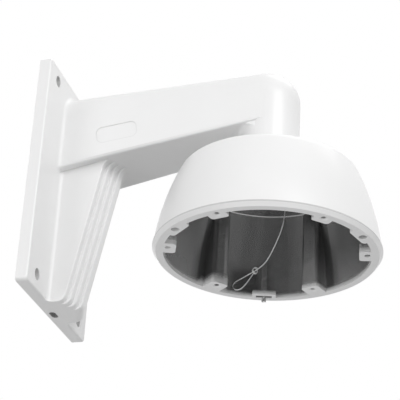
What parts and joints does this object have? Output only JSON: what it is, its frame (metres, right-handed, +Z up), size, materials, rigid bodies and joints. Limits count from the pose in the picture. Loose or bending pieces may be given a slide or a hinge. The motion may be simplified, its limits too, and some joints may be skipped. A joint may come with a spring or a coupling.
{
  "type": "camera wall bracket",
  "caption": "Cast wall bracket with a ribbed gusset, a hollow tapering arm and an open-bottomed bowl that a ceiling-type camera screws up into, with a safety rope.",
  "frame": {"origin": "centre of the wall plate's back face", "axes": "y = 0 is the wall and the arm reaches out towards -Y; +Z is up; +X is along the plate's width"},
  "size_m": [0.165, 0.248, 0.1844],
  "materials": {
    "white_paint": "satin",
    "dark_steel": "satin",
    "bright_steel": "satin",
    "rope_steel": "satin"
  },
  "bodies": {
    "root": {"bracket_casting": "white_paint", "retaining_screw": "dark_steel", "rope_lug": "bright_steel", "lug_screw": "bright_steel", "safety_rope": "rope_steel", "rope_knot": "rope_steel"}
  },
  "joints": []
}
